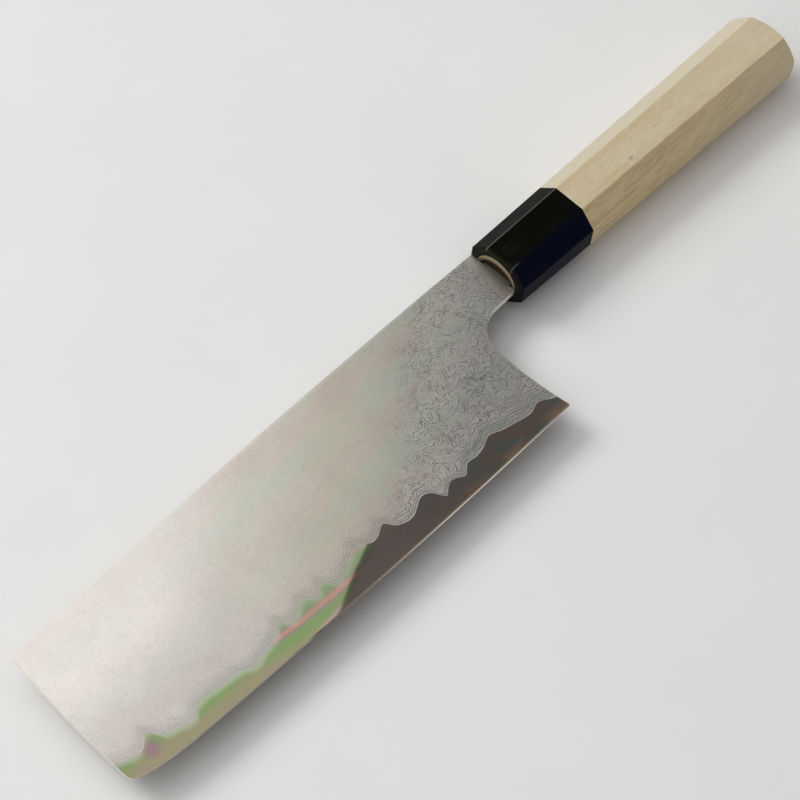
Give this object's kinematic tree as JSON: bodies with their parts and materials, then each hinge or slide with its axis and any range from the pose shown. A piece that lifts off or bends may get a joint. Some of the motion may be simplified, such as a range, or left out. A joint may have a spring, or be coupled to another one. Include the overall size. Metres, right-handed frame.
{
  "type": "nakiri knife",
  "caption": "Straight-edged vegetable knife with a laminated rectangular blade, a horn ferrule and an octagonal wooden handle.",
  "frame": {"origin": "under the middle of the knife's bounding box, at the height of the surface that the knife lies on with its right side down", "axes": "+X runs from the blade's front to the butt of the handle, +Y from the cutting edge to the spine, +Z out of the blade's left face"},
  "size_m": [0.33, 0.0582, 0.0208],
  "materials": {
    "core_steel": "polished, dark",
    "cladding_steel": "polished layered steel",
    "horn": "polished black horn",
    "handle_wood": "pale wood, satin, unvarnished",
    "seal_resin": "dark resin"
  },
  "bodies": {
    "root": {"core_steel": "core_steel", "left_cladding": "cladding_steel", "right_cladding": "cladding_steel", "ferrule": "horn", "handle_body": "handle_wood", "tang_seal": "seal_resin"}
  },
  "joints": []
}
